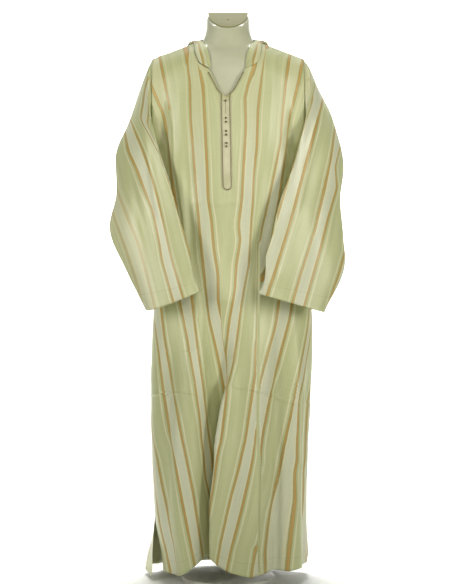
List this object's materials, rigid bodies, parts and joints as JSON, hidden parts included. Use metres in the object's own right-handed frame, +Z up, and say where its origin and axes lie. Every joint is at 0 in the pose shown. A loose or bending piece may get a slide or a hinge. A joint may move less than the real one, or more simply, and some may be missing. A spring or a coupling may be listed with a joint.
{
  "type": "djellaba robe on a dress form",
  "caption": "Long hooded robe of striped satin with wide sleeves, a braided V neck and placket, hanging on a limbless dress form on a round stand.",
  "frame": {"origin": "centre of the stand's round base, on its underside", "axes": "+Z is up, -Y is the way the garment faces, and +X is towards the wearer's left arm"},
  "size_m": [0.5922, 0.3403, 1.4516],
  "materials": {
    "satin": "woven satin stripes in pale green, cream and dull gold",
    "braid": "dark olive brown braid and knotted cord",
    "form": "smooth moulded ivory plastic",
    "stand": "ivory powder coat on steel"
  },
  "bodies": {
    "root": {"front": "satin", "back": "satin", "sleeve_left": "satin", "sleeve_right": "satin", "hood": "satin", "placket": "satin", "braid_left": "braid", "braid_right": "braid", "knot_1": "braid", "knot_2": "braid", "knot_3": "braid", "knot_4": "braid", "knot_5": "braid", "knot_6": "braid", "knot_7": "braid", "form": "form", "neck_cap": "form", "pole": "stand", "base": "stand"}
  },
  "joints": []
}
